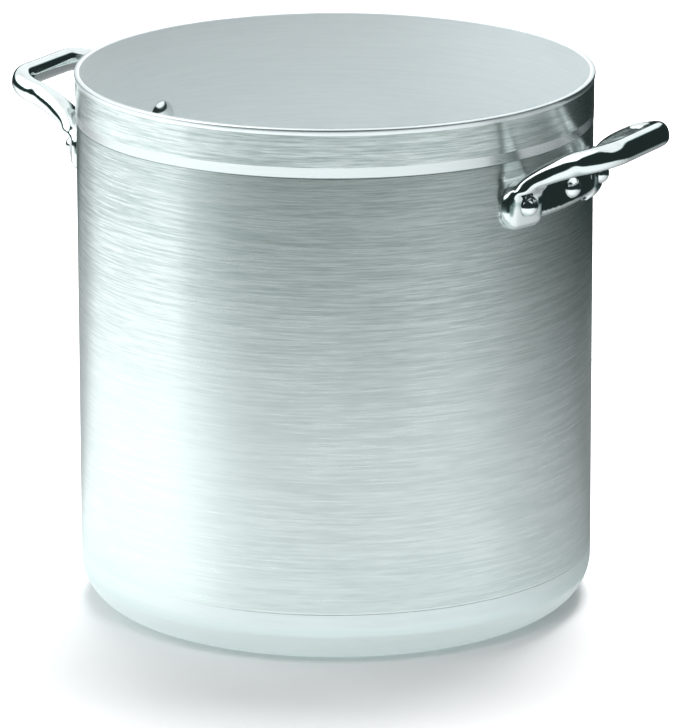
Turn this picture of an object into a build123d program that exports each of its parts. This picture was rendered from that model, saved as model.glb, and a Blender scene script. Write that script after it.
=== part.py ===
from build123d import *
from math import copysign, cos, pi, radians, sin
import os

# A 40 cm aluminium stock pot: one spun shell with a rolled rim, and two cast steel handles.
# Each handle is one casting, a loop whose legs spread into two feet with a flange between them,
# and three domed rivets hold it to the wall. Millimetres. The origin is the centre of the base
# where it rests, +Z is up, and the handles point along +X (right) and -X (left).

# Shell
INNER_RADIUS = 200.0
WALL = 3.0
OUTER_RADIUS = INNER_RADIUS + WALL
HEIGHT = 428.0
BASE_THICKNESS = 5.0
CORNER_RADIUS = 35.0
INNER_CORNER_RADIUS = 31.0

# Rolled rim: a rounded bead with a narrow flat land on top, where a lid rests
RIM_RADIUS = 204.4
RIM_HEIGHT = 5.0
RIM_TOP_ROUNDING = 1.2
RIM_INNER_ROUNDING = 1.6

# Collar under the rim, a polished band below it, and a fine line above the base corner
COLLAR_STEP = 0.5
BAND_TOP = 398.0
BAND_BOTTOM = 390.4
BAND_LIP = 0.2
GROOVE_DEPTH = 0.4
GROOVE_WIDTH = 1.2
BASE_LINE_Z = 44.0

# Flange and feet of a handle, which lie against the wall
FLANGE_ANGLE = 25.0
FLANGE_THICKNESS = 7.6
FLANGE_BOTTOM = 341.5
FLANGE_TOP = 375.0
FLANGE_BEVEL = 4.0
FOOT_ANGLE = 16.3
FOOT_WIDTH = 33.0
FOOT_FULLNESS = 4.0
FOOT_SINK = 1.0
FOOT_BOTTOM = 336.0
FEET_SPAN = 155.0
FEET_CORNER_RADIUS = 16.0

# Bar: the legs rise outwards from the feet to a straight grip
# width, height and fullness of the bar's section
BAR = (16.0, 19.0, 2.3)
GRIP_REACH = 266.8
GRIP_Z = 398.6
GRIP_HALF_LENGTH = 53.0
GRIP_CORNER_RADIUS = 24.0
GRIP_CORNER_STEPS = 6
GRIP_STEPS = 4
LEG_TOP_REACH = 241.4
LEG_TOP_Z = 391.4
GRIP_PITCH = 16.0
SECTION_POINTS = 20

# Rivets: a small domed head outside and a wider, flatter one inside
SHANK_RADIUS = 4.0
HOLE_RADIUS = 4.1
HEAD_RADIUS = 8.25
HEAD_HEIGHT = 6.5
SEAT_RADIUS = 8.6
SIDE_SEAT_REACH = 212.8
MIDDLE_SEAT_REACH = 210.4
INNER_HEAD_RADIUS = 12.5
INNER_HEAD_HEIGHT = 4.5
INNER_SEAT_REACH = 199.55
RIVET_ANGLE = 16.3
SIDE_RIVET_Z = 355.2
MIDDLE_RIVET_Z = 357.5

# The way out along the grip's tilted plane
OUTWARDS = Vector(cos(radians(GRIP_PITCH)), 0, sin(radians(GRIP_PITCH)))

HANDLES = {"right": 0.0, "left": 180.0}
# name: angle from the handle's middle, height, reach of the face under the outer head
RIVETS = {
    "front": (-RIVET_ANGLE, SIDE_RIVET_Z, SIDE_SEAT_REACH),
    "middle": (0.0, MIDDLE_RIVET_Z, MIDDLE_SEAT_REACH),
    "back": (RIVET_ANGLE, SIDE_RIVET_Z, SIDE_SEAT_REACH),
}


def rounding(start, end, centre, radius):
    """A quarter round from start to end that bulges away from its centre."""
    middle = Vector((start[0] + end[0]) / 2, (start[1] + end[1]) / 2)
    outwards = (middle - Vector(*centre)).normalized()
    bulge = Vector(*centre) + outwards * radius
    return ThreePointArc(start, (bulge.X, bulge.Y), end)


def shell_profile():
    """Half of the shell's section in (radius, height): base, wall, rim, then back down inside."""
    collar = OUTER_RADIUS + COLLAR_STEP
    rim_foot = HEIGHT - RIM_HEIGHT
    rim_shoulder = RIM_RADIUS - RIM_TOP_ROUNDING
    rim_edge = (RIM_RADIUS, HEIGHT - RIM_TOP_ROUNDING)
    overhang = RIM_RADIUS - collar
    bead_radius = (overhang**2 + (rim_edge[1] - rim_foot) ** 2) / (2 * overhang)
    rim_inside = INNER_RADIUS + RIM_INNER_ROUNDING
    outer_centre = (OUTER_RADIUS - CORNER_RADIUS, CORNER_RADIUS)
    inner_centre = (INNER_RADIUS - INNER_CORNER_RADIUS, BASE_THICKNESS + INNER_CORNER_RADIUS)
    with BuildSketch(Plane.XZ) as section:
        with BuildLine():
            Line((0, 0), (outer_centre[0], 0))
            rounding((outer_centre[0], 0), (OUTER_RADIUS, CORNER_RADIUS), outer_centre, CORNER_RADIUS)
            Polyline(
                (OUTER_RADIUS, CORNER_RADIUS),
                (OUTER_RADIUS, BASE_LINE_Z - GROOVE_WIDTH / 2),
                (OUTER_RADIUS - GROOVE_DEPTH, BASE_LINE_Z),
                (OUTER_RADIUS, BASE_LINE_Z + GROOVE_WIDTH / 2),
                (OUTER_RADIUS, BAND_BOTTOM - GROOVE_WIDTH),
                (OUTER_RADIUS - GROOVE_DEPTH, BAND_BOTTOM - GROOVE_WIDTH / 2),
                (OUTER_RADIUS + BAND_LIP, BAND_BOTTOM),
                (collar, BAND_TOP),
                (collar, rim_foot),
            )
            rounding((collar, rim_foot), rim_edge, (RIM_RADIUS - bead_radius, rim_edge[1]), bead_radius)
            rounding(rim_edge, (rim_shoulder, HEIGHT), (rim_shoulder, rim_edge[1]), RIM_TOP_ROUNDING)
            Line((rim_shoulder, HEIGHT), (rim_inside, HEIGHT))
            rounding(
                (rim_inside, HEIGHT),
                (INNER_RADIUS, HEIGHT - RIM_INNER_ROUNDING),
                (rim_inside, HEIGHT - RIM_INNER_ROUNDING),
                RIM_INNER_ROUNDING,
            )
            Line((INNER_RADIUS, HEIGHT - RIM_INNER_ROUNDING), (INNER_RADIUS, inner_centre[1]))
            rounding(
                (INNER_RADIUS, inner_centre[1]),
                (inner_centre[0], BASE_THICKNESS),
                inner_centre,
                INNER_CORNER_RADIUS,
            )
            Polyline((inner_centre[0], BASE_THICKNESS), (0, BASE_THICKNESS), (0, 0))
        make_face()
    return section.sketch


def outward_cylinder(angle, z, radius, start, end):
    """A cylinder about a line that points out from the pot's axis, from one reach to another."""
    placed = Pos((start + end) / 2, 0, z) * Rot(0, 90, 0) * Cylinder(radius, end - start)
    return Rot(0, 0, angle) * placed


def rivet_cutters():
    """Stepped cutters for the handle on +X: a hole through everything and a spot face outside."""
    return [
        outward_cylinder(angle, z, HOLE_RADIUS, INNER_RADIUS - 10, reach + 4)
        + outward_cylinder(angle, z, SEAT_RADIUS, reach, reach + HEAD_HEIGHT - 1)
        for angle, z, reach in RIVETS.values()
    ]


def pot_body():
    shell = revolve(shell_profile(), axis=Axis.Z)
    for side_angle in HANDLES.values():
        for cutter in rivet_cutters():
            shell -= Rot(0, 0, side_angle) * cutter
    return shell


def flange():
    """The strip across both feet, bent to the wall, with bevelled upper and lower edges."""
    face = OUTER_RADIUS + FLANGE_THICKNESS
    profile = Plane.XZ * make_face(
        Polyline(
            (OUTER_RADIUS, FLANGE_BOTTOM),
            (face - FLANGE_BEVEL, FLANGE_BOTTOM),
            (face, FLANGE_BOTTOM + FLANGE_BEVEL),
            (face, FLANGE_TOP - FLANGE_BEVEL),
            (face - FLANGE_BEVEL, FLANGE_TOP),
            (OUTER_RADIUS, FLANGE_TOP),
            close=True,
        )
    )
    strip = revolve(profile, axis=Axis.Z, revolution_arc=2 * FLANGE_ANGLE)
    return strip.rotate(Axis.Z, -FLANGE_ANGLE)


def oval(station):
    """A closed rounded outline across the bar. Fullness 2 is an ellipse, and more is squarer."""
    (place, across, along), width, thickness, fullness = station
    points = []
    for index in range(SECTION_POINTS):
        angle = 2 * pi * (index + 0.5) / SECTION_POINTS
        x = width / 2 * copysign(abs(cos(angle)) ** (2 / fullness), cos(angle))
        y = thickness / 2 * copysign(abs(sin(angle)) ** (2 / fullness), sin(angle))
        points.append((x, y))
    plane = Plane(origin=place, x_dir=across, z_dir=along)
    return plane * make_face(Spline(*points, periodic=True))


def leg_station(reach, side, z, pitch, yaw, width, thickness, fullness):
    """A cross-section of a leg. Pitch 90 looks straight up the wall, and 0 straight out."""
    level = cos(radians(pitch))
    along = Vector(level * cos(radians(yaw)), level * sin(radians(yaw)), sin(radians(pitch)))
    across = Vector(-sin(radians(yaw)), cos(radians(yaw)), 0)
    return (Vector(reach, side, z), across, along), width, thickness, fullness


def foot_station(z, face_radius):
    """A cross-section of a foot, whose back is sunk in the wall for trimming."""
    back_radius = OUTER_RADIUS - FOOT_SINK
    middle = (face_radius + back_radius) / 2
    reach = middle * cos(radians(FOOT_ANGLE))
    side = middle * sin(radians(FOOT_ANGLE))
    depth = face_radius - back_radius
    return leg_station(reach, side, z, 90, FOOT_ANGLE, FOOT_WIDTH, depth, FOOT_FULLNESS)


def corner_stations():
    """The cross-sections round the grip's corner on the +Y side."""
    outwards, sideways = OUTWARDS, Vector(0, 1, 0)
    centre = Vector(GRIP_REACH, GRIP_HALF_LENGTH, GRIP_Z) - (outwards + sideways) * GRIP_CORNER_RADIUS
    stations = []
    for step in range(1, GRIP_CORNER_STEPS + 1):
        turn = radians(90 * step / GRIP_CORNER_STEPS)
        across = sideways * cos(turn) + outwards * sin(turn)
        along = outwards * cos(turn) - sideways * sin(turn)
        stations.append(((centre + across * GRIP_CORNER_RADIUS, across, along), *BAR))
    return stations


def grip_stations():
    """The cross-sections from the end of the corner to the middle of the grip."""
    straight = GRIP_HALF_LENGTH - GRIP_CORNER_RADIUS
    sides = [straight * (1 - step / GRIP_STEPS) for step in range(1, GRIP_STEPS + 1)]
    along = Vector(0, -1, 0)
    return [((Vector(GRIP_REACH, side, GRIP_Z), OUTWARDS, along), *BAR) for side in sides]


def mirrored(station):
    """The same cross-section on the -Y side, with the bar running the other way."""
    (place, across, along), width, thickness, fullness = station
    flip = [Vector(v.X, -v.Y, v.Z) for v in (place, across, along)]
    return (flip[0], flip[1], -flip[2]), width, thickness, fullness


def handle():
    """The casting: a bar from foot to foot and the flange, trimmed to the wall and drilled."""
    half = [
        foot_station(FOOT_BOTTOM, 205.5),
        foot_station(340.0, 210.6),
        foot_station(345.0, 212.4),
        foot_station(351.0, 213.1),
        foot_station(357.0, 213.6),
        foot_station(363.0, 213.9),
        leg_station(204.0, 58.6, 369.4, 58, 14.0, 31.0, 12.6, 3.6),
        leg_station(208.4, 57.2, 374.7, 43, 10.0, 27.5, 13.4, 3.3),
        leg_station(214.2, 56.0, 379.0, 33, 6.0, 23.5, 14.8, 3.0),
        leg_station(220.8, 55.0, 382.5, 27, 3.0, 20.5, 16.3, 2.8),
        leg_station(227.6, 54.2, 385.7, 24, 1.0, 18.4, 17.5, 2.6),
        leg_station(234.5, 53.5, 388.7, 21, 0.0, 17.0, 18.5, 2.4),
        leg_station(LEG_TOP_REACH, GRIP_HALF_LENGTH, LEG_TOP_Z, GRIP_PITCH, 0.0, *BAR),
    ]
    half += corner_stations() + grip_stations()
    other_half = [mirrored(station) for station in reversed(half[:-1])]
    bar = loft([oval(station) for station in half + other_half])
    bar -= Pos(0, 0, FLANGE_TOP) * Cylinder(OUTER_RADIUS, 200)
    bar &= rounded_ends(3 * (FLANGE_TOP - FOOT_BOTTOM))
    casting = bar + (flange() & rounded_ends(FLANGE_TOP - FOOT_BOTTOM))
    for cutter in rivet_cutters():
        casting -= cutter
    return casting


def rounded_ends(height):
    """A prism, square to the wall, whose corners round the ends of the flange and feet off."""
    plane = Plane(
        origin=(INNER_RADIUS - 40, 0, FOOT_BOTTOM + height / 2), x_dir=(0, 1, 0), z_dir=(1, 0, 0)
    )
    return extrude(plane * RectangleRounded(FEET_SPAN, height, FEET_CORNER_RADIUS), amount=150)


def dome(radius, height):
    """A cap with its flat side on Z = 0, cut from a sphere."""
    sphere_radius = (radius**2 + height**2) / (2 * height)
    ball = Pos(0, 0, height - sphere_radius) * Sphere(sphere_radius)
    return ball & (Pos(0, 0, sphere_radius * 1.5) * Box(*[sphere_radius * 3] * 3))


def rivet(angle, z, seat_reach):
    """One rivet about a line that points out from the pot's axis."""
    outer = Pos(seat_reach, 0, z) * Rot(0, 90, 0) * dome(HEAD_RADIUS, HEAD_HEIGHT)
    inner = Pos(INNER_SEAT_REACH, 0, z) * Rot(0, -90, 0) * dome(INNER_HEAD_RADIUS, INNER_HEAD_HEIGHT)
    shank = outward_cylinder(0, z, SHANK_RADIUS, INNER_SEAT_REACH - 1, seat_reach + 1)
    return Rot(0, 0, angle) * (outer + shank + inner)


def main():
    os.makedirs("parts", exist_ok=True)
    parts = {"pot_body": pot_body()}
    casting = handle()
    for side, side_angle in HANDLES.items():
        turn = Rot(0, 0, side_angle)
        parts[f"handle_{side}"] = turn * casting
        for name, place in RIVETS.items():
            parts[f"rivet_{side}_{name}"] = turn * rivet(*place)
    for name, shape in parts.items():
        export_step(shape, f"parts/{name}.step")


main()
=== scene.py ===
from math import asin, atan2, cos, degrees, hypot, pi, radians, sin

import bmesh
import bpy
from mathutils import Matrix, Vector


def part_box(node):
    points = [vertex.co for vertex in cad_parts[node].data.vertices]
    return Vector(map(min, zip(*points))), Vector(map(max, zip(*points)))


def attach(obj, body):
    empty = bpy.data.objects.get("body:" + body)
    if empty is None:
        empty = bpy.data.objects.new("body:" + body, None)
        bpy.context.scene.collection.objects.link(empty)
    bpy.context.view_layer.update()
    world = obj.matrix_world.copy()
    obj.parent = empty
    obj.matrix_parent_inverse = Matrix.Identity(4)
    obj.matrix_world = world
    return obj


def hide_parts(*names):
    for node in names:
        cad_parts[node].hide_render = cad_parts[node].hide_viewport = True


# A stock pot in a small white studio. Metres, in the CAD's own frame: the base rests on z = 0
# and the handles point along +X and -X.

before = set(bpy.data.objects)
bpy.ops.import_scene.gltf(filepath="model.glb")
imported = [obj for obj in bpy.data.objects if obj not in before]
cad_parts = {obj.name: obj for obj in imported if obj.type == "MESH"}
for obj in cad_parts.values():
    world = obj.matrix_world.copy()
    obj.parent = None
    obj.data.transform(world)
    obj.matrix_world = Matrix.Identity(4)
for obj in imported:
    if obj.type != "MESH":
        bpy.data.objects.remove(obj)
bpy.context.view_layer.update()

# ---------------------------------------------------------------- sizes of the pot

RIM_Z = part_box("pot_body")[1].z
BEAD_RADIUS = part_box("pot_body")[1].x
WALL_RADIUS = 0.203
INNER_RADIUS = 0.200
COLLAR_TOP = RIM_Z - 0.005
BAND_TOP = 0.398
BAND_BOTTOM = 0.3904
BASE_LINE = 0.044
COLLAR_STEP = 0.0005
BAND_LIP = 0.0002
GROOVE_DEPTH = 0.0004
GROOVE_HALF_WIDTH = 0.0006
CORNER_RADIUS = 0.035
INNER_CORNER_RADIUS = 0.031
BASE_THICKNESS = 0.005
BEAD_TOP_ROUNDING = 0.0012
BEAD_INNER_ROUNDING = 0.0016
# Rings set this close to an edge keep its shading crisp
CREASE = 0.00008
TURNS = 720

# ---------------------------------------------------------------- camera

CAMERA_AZIMUTH = radians(29.5)
CAMERA_REACH = 4.98
CAMERA_HEIGHT = 1.59
CAMERA_TILT = radians(15.73)
CAMERA_PAN = radians(0.018)
CAMERA_ROLL = radians(-0.15)
CAMERA_LENS = 322.5

# The camera's own horizontal directions, in which the studio is laid out as well
TO_CAMERA = Vector((sin(CAMERA_AZIMUTH), -cos(CAMERA_AZIMUTH), 0))
TO_RIGHT = Vector((cos(CAMERA_AZIMUTH), sin(CAMERA_AZIMUTH), 0))


def add_camera():
    data = bpy.data.cameras.new("camera")
    data.lens = CAMERA_LENS
    data.sensor_width = 36
    data.clip_start = 0.1
    data.clip_end = 60
    camera = bpy.data.objects.new("camera", data)
    bpy.context.scene.collection.objects.link(camera)
    level = -TO_CAMERA * cos(CAMERA_PAN) + TO_RIGHT * sin(CAMERA_PAN)
    forward = level * cos(CAMERA_TILT) - Vector((0, 0, sin(CAMERA_TILT)))
    right = level.cross(Vector((0, 0, 1))).normalized()
    up = right.cross(forward)
    rolled_right = right * cos(CAMERA_ROLL) + up * sin(CAMERA_ROLL)
    rolled_up = up * cos(CAMERA_ROLL) - right * sin(CAMERA_ROLL)
    turn = Matrix((rolled_right, rolled_up, -forward)).transposed().to_4x4()
    place = TO_CAMERA * CAMERA_REACH + Vector((0, 0, CAMERA_HEIGHT))
    camera.matrix_world = Matrix.Translation(place) @ turn
    bpy.context.scene.camera = camera


# ---------------------------------------------------------------- node helpers


class Graph:
    """Short calls for building one shader node tree."""

    def __init__(self, tree):
        self.tree = tree
        tree.nodes.clear()

    def node(self, kind, **settings):
        node = self.tree.nodes.new(kind)
        for name, value in settings.items():
            setattr(node, name, value)
        return node

    def plug(self, value, socket):
        if isinstance(value, bpy.types.NodeSocket):
            self.tree.links.new(value, socket)
        else:
            socket.default_value = value

    def math(self, operation, first, second=0.0, third=0.0):
        node = self.node("ShaderNodeMath", operation=operation)
        for socket, value in zip(node.inputs, (first, second, third)):
            self.plug(value, socket)
        return node.outputs[0]

    def add(self, first, second):
        return self.math("ADD", first, second)

    def times(self, first, second):
        return self.math("MULTIPLY", first, second)

    def span(self, value, low, high, to_low=0.0, to_high=1.0):
        """Value carried smoothly from low..high to to_low..to_high, and clamped."""
        node = self.node("ShaderNodeMapRange", interpolation_type="SMOOTHSTEP")
        for socket, number in zip(node.inputs, (value, low, high, to_low, to_high)):
            self.plug(number, socket)
        return node.outputs[0]

    def between(self, value, low, high, soft):
        """1 between low and high, 0 outside, with soft edges."""
        rise = self.span(value, low - soft, low + soft)
        fall = self.span(value, high - soft, high + soft, 1.0, 0.0)
        return self.times(rise, fall)

    def mix(self, factor, first, second):
        """Number or colour, whichever first is."""
        coloured = isinstance(first, tuple) or (
            isinstance(first, bpy.types.NodeSocket) and first.type == "RGBA"
        )
        node = self.node("ShaderNodeMix", data_type="RGBA" if coloured else "FLOAT")
        sockets = [s for s in node.inputs if s.enabled]
        for socket, value in zip(sockets, (factor, first, second)):
            self.plug(value, socket)
        return next(s for s in node.outputs if s.enabled)

    def ramp(self, value, stops):
        """A grey curve through (position, brightness) stops."""
        node = self.node("ShaderNodeFloatCurve")
        node.mapping.use_clip = False
        curve = node.mapping.curves[0]
        while len(curve.points) < len(stops):
            curve.points.new(0.5, 0.5)
        for point, (position, level) in zip(curve.points, stops):
            point.location = (position, level)
            point.handle_type = "AUTO_CLAMPED"
        node.mapping.update()
        self.plug(value, node.inputs["Value"])
        return node.outputs[0]

    def noise(self, vector, scale=1.0, detail=3.0, roughness=0.5):
        node = self.node("ShaderNodeTexNoise")
        self.plug(vector, node.inputs["Vector"])
        node.inputs["Scale"].default_value = scale
        node.inputs["Detail"].default_value = detail
        node.inputs["Roughness"].default_value = roughness
        return node.outputs["Fac"]

    def scaled(self, vector, factors):
        node = self.node("ShaderNodeVectorMath", operation="MULTIPLY")
        self.plug(vector, node.inputs[0])
        node.inputs[1].default_value = factors
        return node.outputs[0]

    def dot(self, vector, direction):
        node = self.node("ShaderNodeVectorMath", operation="DOT_PRODUCT")
        self.plug(vector, node.inputs[0])
        node.inputs[1].default_value = direction
        return node.outputs["Value"]

    def parts(self, vector):
        node = self.node("ShaderNodeSeparateXYZ")
        self.plug(vector, node.inputs[0])
        return node.outputs

    def bearing(self, vector):
        """0..1 round the studio: 0.5 faces the camera, 0.25 is its left and 0.75 its right."""
        angle = self.math("ARCTAN2", self.dot(vector, TO_RIGHT), self.dot(vector, TO_CAMERA))
        return self.add(self.times(angle, 1 / (2 * pi)), 0.5)


def material(name):
    made = bpy.data.materials.new(name)
    made.use_nodes = True
    return made, Graph(made.node_tree)


# ---------------------------------------------------------------- studio

# Bearing round the studio: how high the dark surround reaches there (as a direction's height),
# and how bright the soft boxes above it are
DARK_TOP = (
    (0.00, 0.06),
    (0.06, 0.16),
    (0.10, 0.08),
    (0.30, 0.05),
    (0.36, 0.30),
    (0.42, 0.74),
    (0.50, 0.86),
    (0.60, 0.66),
    (0.68, 0.42),
    (0.76, 0.44),
    (0.84, 0.50),
    (0.92, 0.36),
    (0.97, 0.10),
    (1.00, 0.06),
)
SOFT_BOXES = (
    (0.00, 1.20),
    (0.10, 1.10),
    (0.16, 2.40),
    (0.29, 2.60),
    (0.36, 1.60),
    (0.50, 1.05),
    (0.80, 1.20),
    (1.00, 1.20),
)
# How bright the table is close round the pot, and how much farther off it turns dark
TABLE = (
    (0.00, 0.55),
    (0.06, 0.50),
    (0.10, 0.58),
    (0.14, 1.05),
    (0.18, 1.42),
    (0.25, 1.45),
    (0.34, 1.40),
    (0.42, 1.28),
    (0.50, 1.25),
    (0.60, 1.20),
    (0.70, 0.90),
    (0.76, 0.70),
    (0.82, 0.48),
    (0.90, 0.30),
    (1.00, 0.40),
)
TABLE_REACH = (
    (0.00, 0.90),
    (0.08, 1.60),
    (0.12, 2.60),
    (0.28, 2.60),
    (0.315, 1.70),
    (0.35, 1.30),
    (0.44, 1.26),
    (0.55, 1.32),
    (0.65, 1.50),
    (0.75, 1.20),
    (0.84, 1.12),
    (0.90, 1.12),
    (1.00, 0.90),
)
# Brightness and tint of the dark surround, and the tint of everything lit
DARK = 0.03
DARK_TINT = (0.62, 1.0, 0.93, 1)
LIGHT_TINT = (0.93, 0.985, 1.0, 1)
# Brightness of the surround for diffuse light, and of the backdrop behind the pot
SPREAD_LIGHT = 0.25
BACKDROP = 1.05
FLOOR_RADIUS = 9.0


def add_world():
    """Soft boxes over a dark surround for reflections, plain white for the camera."""
    world = bpy.data.worlds.new("studio")
    bpy.context.scene.world = world
    world.use_nodes = True
    g = Graph(world.node_tree)
    direction = g.node("ShaderNodeTexCoord").outputs["Generated"]
    around = g.bearing(direction)
    above = g.math("SUBTRACT", g.parts(direction)[2], g.ramp(around, DARK_TOP))
    lit = g.span(above, 0.0, 0.14)
    brightness = g.mix(lit, DARK, g.ramp(around, SOFT_BOXES))
    paths = g.node("ShaderNodeLightPath")
    spread = paths.outputs["Is Diffuse Ray"]
    brightness = g.mix(spread, brightness, SPREAD_LIGHT)
    tint = g.mix(spread, g.mix(lit, DARK_TINT, LIGHT_TINT), (1.0, 1.0, 1.0, 1))
    background = g.node("ShaderNodeBackground")
    g.plug(tint, background.inputs["Color"])
    g.plug(brightness, background.inputs["Strength"])
    white = g.node("ShaderNodeBackground")
    white.inputs["Color"].default_value = (1, 1, 1, 1)
    white.inputs["Strength"].default_value = BACKDROP
    choice = g.node("ShaderNodeMixShader")
    g.plug(paths.outputs["Is Camera Ray"], choice.inputs[0])
    g.plug(background.outputs[0], choice.inputs[1])
    g.plug(white.outputs[0], choice.inputs[2])
    output = g.node("ShaderNodeOutputWorld")
    g.plug(choice.outputs[0], output.inputs["Surface"])


def disc(name, radius, z, rings=24, turns=96):
    """A flat round sheet, finely divided."""
    sheet = bmesh.new()
    centre = sheet.verts.new((0, 0, z))
    previous = None
    for ring in range(1, rings + 1):
        reach = radius * ring / rings
        loop = [
            sheet.verts.new((reach * cos(2 * pi * t / turns), reach * sin(2 * pi * t / turns), z))
            for t in range(turns)
        ]
        for t in range(turns):
            after = (t + 1) % turns
            if previous is None:
                sheet.faces.new((centre, loop[t], loop[after]))
            else:
                sheet.faces.new((previous[t], loop[t], loop[after], previous[after]))
        previous = loop
    mesh = bpy.data.meshes.new(name)
    sheet.to_mesh(mesh)
    sheet.free()
    made = bpy.data.objects.new(name, mesh)
    bpy.context.scene.collection.objects.link(made)
    return made


def add_floor():
    """A white floor, and a card that stands for it in reflections and dims with distance, with a
    painted shadow of the pot close round the base.
    """
    floor = disc("floor", FLOOR_RADIUS, -0.0002)
    white, g = material("floor_white")
    place = g.node("ShaderNodeTexCoord").outputs["Object"]
    away = g.node("ShaderNodeVectorMath", operation="LENGTH")
    g.plug(place, away.inputs[0])
    surface = g.node("ShaderNodeBsdfDiffuse")
    surface.inputs["Color"].default_value = (0.93, 0.93, 0.93, 1)
    glow = g.node("ShaderNodeEmission")
    g.plug(g.span(away.outputs["Value"], 1.0, 3.0, 0.0, 1.0), glow.inputs["Strength"])
    both = g.node("ShaderNodeAddShader")
    g.plug(surface.outputs[0], both.inputs[0])
    g.plug(glow.outputs[0], both.inputs[1])
    output = g.node("ShaderNodeOutputMaterial")
    g.plug(both.outputs[0], output.inputs["Surface"])
    floor.data.materials.append(white)
    floor.visible_glossy = False

    card = disc("floor_card", FLOOR_RADIUS, -0.0006)
    dim, g = material("floor_card")
    place = g.node("ShaderNodeTexCoord").outputs["Object"]
    across = g.node("ShaderNodeVectorMath", operation="LENGTH")
    g.plug(place, across.inputs[0])
    distance = across.outputs["Value"]
    around = g.bearing(place)
    away = g.math("DIVIDE", distance, g.ramp(around, TABLE_REACH))
    near_lit = g.span(away, 0.76, 1.12, 1.0, 0.0)
    # Painted shadow: close round the base the card is darkened, standing in reflections for the
    # pot's own shadow on the floor
    lit = g.times(near_lit, g.span(distance, 0.15, 0.42, 0.70, 1.0))
    level = g.mix(lit, DARK, g.ramp(around, TABLE))
    glow = g.node("ShaderNodeEmission")
    g.plug(g.mix(lit, DARK_TINT, LIGHT_TINT), glow.inputs["Color"])
    g.plug(level, glow.inputs["Strength"])
    output = g.node("ShaderNodeOutputMaterial")
    g.plug(glow.outputs[0], output.inputs["Surface"])
    card.data.materials.append(dim)
    card.visible_camera = False
    card.visible_diffuse = False
    card.visible_shadow = False


def add_light(name, place, size, power):
    """A square light aimed at the pot's lower part, which reflections don't show."""
    data = bpy.data.lights.new(name, "AREA")
    data.shape = "SQUARE"
    data.size = size
    data.energy = power
    light = bpy.data.objects.new(name, data)
    bpy.context.scene.collection.objects.link(light)
    light.location = place
    light.rotation_mode = "QUATERNION"
    light.rotation_quaternion = (Vector((0, 0, 0.1)) - place).to_track_quat("-Z", "Y")
    light.visible_glossy = False


# ---------------------------------------------------------------- finishes


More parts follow.
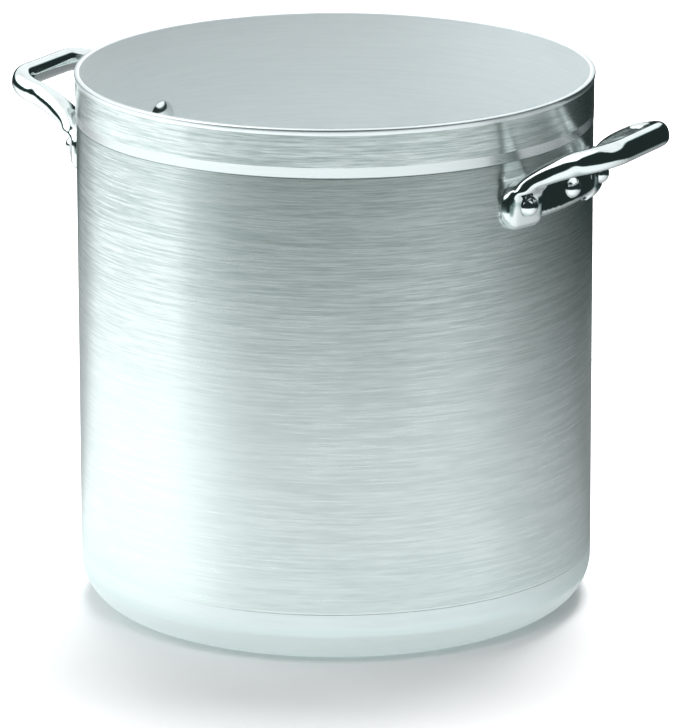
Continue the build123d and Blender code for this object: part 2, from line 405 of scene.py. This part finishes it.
def pot_finish():
    """Spun aluminium: brushed wall, polished band and bead, satin base corner and inside."""
    made, g = material("pot_aluminium")
    place = g.node("ShaderNodeTexCoord").outputs["Object"]
    z = g.parts(place)[2]
    across = g.node("ShaderNodeVectorMath", operation="LENGTH")
    g.plug(g.scaled(place, (1, 1, 0)), across.inputs[0])
    reach = across.outputs["Value"]

    outside = g.span(reach, INNER_RADIUS + 0.0012, INNER_RADIUS + 0.0020)
    bead = g.times(outside, g.span(z, COLLAR_TOP - 0.0002, COLLAR_TOP + 0.0004))
    band = g.times(outside, g.between(z, BAND_BOTTOM, BAND_TOP, 0.0003))
    collar = g.times(outside, g.between(z, BAND_TOP, COLLAR_TOP, 0.0003))
    wall = g.times(outside, g.between(z, BASE_LINE + 0.001, BAND_BOTTOM - 0.0008, 0.0004))
    brushed = g.add(wall, collar)

    fine = g.noise(g.scaled(place, (60, 60, 1300)), detail=2, roughness=0.6)
    coarse = g.noise(g.scaled(place, (17, 17, 600)), detail=2, roughness=0.6)
    broad = g.noise(g.scaled(place, (3, 3, 90)), detail=2)
    cloud = g.noise(place, scale=9, detail=4)
    coarse = g.add(g.times(coarse, 0.85), g.times(broad, 0.15))
    coarse = g.span(coarse, 0.38, 0.62)
    streak = g.add(g.times(g.span(fine, 0.30, 0.70), 0.45), g.times(coarse, 0.55))

    bright = g.mix(outside, (0.85, 0.88, 0.885, 1), (0.84, 0.865, 0.87, 1))
    bright = g.mix(brushed, bright, (0.89, 0.93, 0.92, 1))
    dark = g.mix(outside, (0.82, 0.85, 0.855, 1), (0.78, 0.81, 0.815, 1))
    dark = g.mix(brushed, dark, (0.50, 0.575, 0.55, 1))
    # The streaks are strong high on the wall and fade to a fine grain by mid-height
    worked = g.span(z, 0.16, 0.35, 0.20, 1.0)
    colour = g.mix(g.mix(worked, 0.75, streak), dark, bright)
    # Painted shade: a dark line is painted into the groove just under the band, standing for the
    # shade that falls in it
    groove = g.times(outside, g.between(z, BAND_BOTTOM - 0.0011, BAND_BOTTOM - 0.0001, 0.0002))
    colour = g.mix(groove, colour, (0.40, 0.46, 0.45, 1))
    colour = g.mix(band, colour, (0.72, 0.75, 0.75, 1))

    rough = g.mix(outside, 0.55, g.mix(brushed, g.mix(bead, 0.40, 0.34), 0.31))
    rough = g.mix(band, rough, 0.30)
    rough = g.add(rough, g.times(g.add(g.times(streak, -0.10), g.times(cloud, 0.10)), 0.8))

    # The collar and band lean a little, so they reflect lower than the wall does
    lean = g.add(g.times(collar, -0.12), g.times(band, -0.28))
    leaning = g.node("ShaderNodeCombineXYZ")
    g.plug(lean, leaning.inputs["Z"])
    normal = g.node("ShaderNodeVectorMath", operation="ADD")
    g.plug(g.node("ShaderNodeNewGeometry").outputs["Normal"], normal.inputs[0])
    g.plug(leaning.outputs[0], normal.inputs[1])
    facing = g.node("ShaderNodeVectorMath", operation="NORMALIZE")
    g.plug(normal.outputs[0], facing.inputs[0])

    # The brushing is mostly in the colour: steeper grooves show as dark flecks from the side
    height = g.times(g.times(g.times(brushed, worked), coarse), 0.000005)
    satin = g.noise(g.scaled(place, (160, 160, 420)), detail=3)
    height = g.add(height, g.times(g.times(g.math("SUBTRACT", 1.0, brushed), satin), 0.000012))
    bump = g.node("ShaderNodeBump")
    bump.inputs["Strength"].default_value = 1.0
    bump.inputs["Distance"].default_value = 1.0
    g.plug(height, bump.inputs["Height"])
    g.plug(facing.outputs[0], bump.inputs["Normal"])

    tangent = g.node("ShaderNodeTangent", direction_type="RADIAL", axis="Z")
    shader = g.node("ShaderNodeBsdfPrincipled")
    g.plug(g.mix(outside, 0.55, 1.0), shader.inputs["Metallic"])
    g.plug(colour, shader.inputs["Base Color"])
    g.plug(rough, shader.inputs["Roughness"])
    g.plug(g.times(brushed, 0.85), shader.inputs["Anisotropic"])
    g.plug(tangent.outputs[0], shader.inputs["Tangent"])
    shader.inputs["Anisotropic Rotation"].default_value = 0.25
    g.plug(bump.outputs[0], shader.inputs["Normal"])
    output = g.node("ShaderNodeOutputMaterial")
    g.plug(shader.outputs[0], output.inputs["Surface"])
    return made


def polished_finish(name, colour, roughness, grain):
    """Bright polished steel with a faint grain and small handling marks."""
    made, g = material(name)
    place = g.node("ShaderNodeTexCoord").outputs["Object"]
    cloud = g.noise(place, scale=45, detail=5)
    scratch = g.noise(g.scaled(place, (900, 160, 900)), detail=3)
    marks = g.span(scratch, 0.62, 0.72)
    worn = g.mix(g.span(cloud, 0.45, 0.75), colour, tuple(c * 0.9 for c in colour[:3]) + (1,))
    rough = g.add(roughness, g.add(g.times(cloud, 0.05), g.times(marks, grain)))
    waviness = g.noise(place, scale=70, detail=2)
    height = g.add(g.times(waviness, 0.00003), g.times(marks, 0.000004))
    bump = g.node("ShaderNodeBump")
    bump.inputs["Strength"].default_value = 1.0
    bump.inputs["Distance"].default_value = 1.0
    g.plug(height, bump.inputs["Height"])
    shader = g.node("ShaderNodeBsdfPrincipled")
    shader.inputs["Metallic"].default_value = 1.0
    g.plug(worn, shader.inputs["Base Color"])
    g.plug(rough, shader.inputs["Roughness"])
    g.plug(bump.outputs[0], shader.inputs["Normal"])
    output = g.node("ShaderNodeOutputMaterial")
    g.plug(shader.outputs[0], output.inputs["Surface"])
    return made


# ---------------------------------------------------------------- the handles' castings

VOXEL = 0.0009

# The outer end of a foot: where it ends round the wall and below, its corner, its thickness at
# the edge and inside, and how far in from the edge the rounding reaches
EAR_END = 0.0795
EAR_BOTTOM = 0.336
EAR_CORNER = 0.016
EAR_EDGE = 0.0015
EAR_THICKNESS = 0.0110
EAR_ROUNDING = 0.014
# Inside of this distance round the wall, the flange is left as it is
EAR_START = 0.045
# The leg's root: the height at which it starts, and over which the rounding lets go of it
ROOT_Z = 0.361
ROOT_RISE = 0.013


def remeshed(mesh, smoothing):
    """The mesh again as an even skin of small faces, smoothed the given number of times."""
    holder = bpy.data.objects.new("holder", mesh)
    bpy.context.scene.collection.objects.link(holder)
    remesh = holder.modifiers.new("remesh", "REMESH")
    remesh.mode = "VOXEL"
    remesh.voxel_size = VOXEL
    soften = holder.modifiers.new("soften", "SMOOTH")
    soften.factor = 0.5
    soften.iterations = smoothing
    bpy.context.view_layer.update()
    evaluated = holder.evaluated_get(bpy.context.evaluated_depsgraph_get())
    result = bpy.data.meshes.new_from_object(evaluated)
    bpy.data.objects.remove(holder)
    return result


def crown_feet(mesh):
    """Round the outer ends of the feet over towards the wall, below the leg's root."""
    for vertex in mesh.vertices:
        x, y, z = vertex.co
        reach = hypot(x, y)
        side = abs(atan2(y, abs(x))) * WALL_RADIUS
        past_end = side - (EAR_END - EAR_CORNER)
        past_bottom = EAR_BOTTOM + EAR_CORNER - z
        corner = hypot(max(past_end, 0.0), max(past_bottom, 0.0))
        inside = EAR_CORNER - (corner if corner > 0.0 else max(past_end, past_bottom))
        depth = min(max(inside / EAR_ROUNDING, 0.0), 1.0)
        crown = EAR_EDGE + (EAR_THICKNESS - EAR_EDGE) * (1 - (1 - depth) ** 2) ** 0.5
        root = min(max((z - ROOT_Z) / ROOT_RISE, 0.0), 1.0)
        limit = WALL_RADIUS + crown + 0.05 * root * root
        if side > EAR_START and reach > limit:
            vertex.co.x *= limit / reach
            vertex.co.y *= limit / reach


def cast_handle(name, finish):
    """A handle with the softened edges and joins of a polished casting."""
    mesh = remeshed(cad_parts[name].data.copy(), 2)
    crown_feet(mesh)
    mesh = remeshed(mesh, 12)
    mesh.name = name.replace("handle", "cast_handle")
    mesh.polygons.foreach_set("use_smooth", [True] * len(mesh.polygons))
    mesh.materials.clear()
    mesh.materials.append(finish)
    casting = bpy.data.objects.new(mesh.name, mesh)
    bpy.context.scene.collection.objects.link(casting)
    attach(casting, "root")
    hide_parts(name)


def dress(names, finish):
    """Give the CAD nodes of these names one finish."""
    for name in names:
        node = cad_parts[name]
        node.data.materials.clear()
        node.data.materials.append(finish)
        for face in node.data.polygons:
            face.material_index = 0


# ---------------------------------------------------------------- the shell, turned finely


def arc(centre, radius, start, end, steps):
    """Points of (reach, height) along an arc, its angles in degrees from straight out."""
    turns = [radians(start + (end - start) * step / steps) for step in range(steps + 1)]
    return [(centre[0] + radius * cos(turn), centre[1] + radius * sin(turn)) for turn in turns]


def shell_profile():
    """The shell's outline from the middle of the underside, up outside and down inside."""
    outer = (WALL_RADIUS - CORNER_RADIUS, CORNER_RADIUS)
    inner = (INNER_RADIUS - INNER_CORNER_RADIUS, BASE_THICKNESS + INNER_CORNER_RADIUS)
    collar = WALL_RADIUS + COLLAR_STEP
    groove = WALL_RADIUS - GROOVE_DEPTH
    points = [(0.0, 0.0), (0.06, 0.0), (0.12, 0.0)]
    points += arc(outer, CORNER_RADIUS, -90, 0, 24)
    points += [
        (WALL_RADIUS, BASE_LINE - 0.0007),
        (WALL_RADIUS, BASE_LINE - GROOVE_HALF_WIDTH),
    ]
    points += [(groove, BASE_LINE)]
    points += [
        (WALL_RADIUS, BASE_LINE + GROOVE_HALF_WIDTH),
        (WALL_RADIUS, BASE_LINE + 0.0007),
    ]
    points += [(WALL_RADIUS, 0.12), (WALL_RADIUS, 0.2), (WALL_RADIUS, 0.28), (WALL_RADIUS, 0.35)]
    points += [(WALL_RADIUS, BAND_BOTTOM - 0.0013), (WALL_RADIUS, BAND_BOTTOM - 0.0012)]
    points += [(groove, BAND_BOTTOM - GROOVE_HALF_WIDTH)]
    points += [
        (WALL_RADIUS + 0.00018, BAND_BOTTOM - CREASE),
        (WALL_RADIUS + BAND_LIP, BAND_BOTTOM),
    ]
    points += [(collar - 0.00002, BAND_TOP - CREASE), (collar, BAND_TOP)]
    points += [(collar, BAND_TOP + CREASE), (collar, COLLAR_TOP - CREASE), (collar, COLLAR_TOP)]
    overhang = BEAD_RADIUS - collar
    rise = RIM_Z - BEAD_TOP_ROUNDING - COLLAR_TOP
    radius = (overhang**2 + rise**2) / (2 * overhang)
    lowest = -degrees(asin(rise / radius))
    points += arc((BEAD_RADIUS - radius, COLLAR_TOP + rise), radius, lowest, 0, 12)[1:]
    top = (BEAD_RADIUS - BEAD_TOP_ROUNDING, COLLAR_TOP + rise)
    points += arc(top, BEAD_TOP_ROUNDING, 0, 90, 8)[1:]
    mouth = (INNER_RADIUS + BEAD_INNER_ROUNDING, RIM_Z - BEAD_INNER_ROUNDING)
    points += arc(mouth, BEAD_INNER_ROUNDING, 90, 180, 10)
    points += [(INNER_RADIUS, 0.3), (INNER_RADIUS, 0.2), (INNER_RADIUS, 0.1)]
    points += arc(inner, INNER_CORNER_RADIUS, 0, -90, 24)
    points += [(0.12, BASE_THICKNESS), (0.06, BASE_THICKNESS), (0.0, BASE_THICKNESS)]
    return points


def pot_shell():
    """The whole spun shell as one finely turned mesh."""
    turned = bmesh.new()
    rings = []
    for reach, height in shell_profile():
        if reach == 0.0:
            rings.append([turned.verts.new((0, 0, height))] * TURNS)
            continue
        angles = [2 * pi * turn / TURNS for turn in range(TURNS)]
        rings.append([turned.verts.new((reach * cos(a), reach * sin(a), height)) for a in angles])
    for lower, upper in zip(rings, rings[1:]):
        for turn in range(TURNS):
            after = (turn + 1) % TURNS
            corners = (lower[turn], lower[after], upper[after], upper[turn])
            turned.faces.new(tuple(dict.fromkeys(corners)))
    mesh = bpy.data.meshes.new("pot_shell")
    turned.to_mesh(mesh)
    turned.free()
    mesh.polygons.foreach_set("use_smooth", [True] * len(mesh.polygons))
    shell = bpy.data.objects.new("pot_shell", mesh)
    bpy.context.scene.collection.objects.link(shell)
    shell.data.materials.append(pot_finish())
    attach(shell, "root")
    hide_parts("pot_body")


add_camera()
add_world()
add_floor()
add_light("key", TO_RIGHT * 0.25 - TO_CAMERA * 1.3 + Vector((0, 0, 3.0)), 2.0, 165)
add_light("fill", TO_CAMERA * 1.6 + Vector((0, 0, 1.9)), 1.0, 12)

pot_shell()
handles = [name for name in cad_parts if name.startswith("handle")]
rivets = [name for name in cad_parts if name.startswith("rivet")]
handle_steel = polished_finish("handle_steel", (0.77, 0.80, 0.79, 1), 0.05, 0.10)
for name in handles:
    cast_handle(name, handle_steel)
dress(rivets, polished_finish("rivet_metal", (0.84, 0.86, 0.86, 1), 0.10, 0.14))

bpy.context.scene.view_settings.view_transform = "Standard"
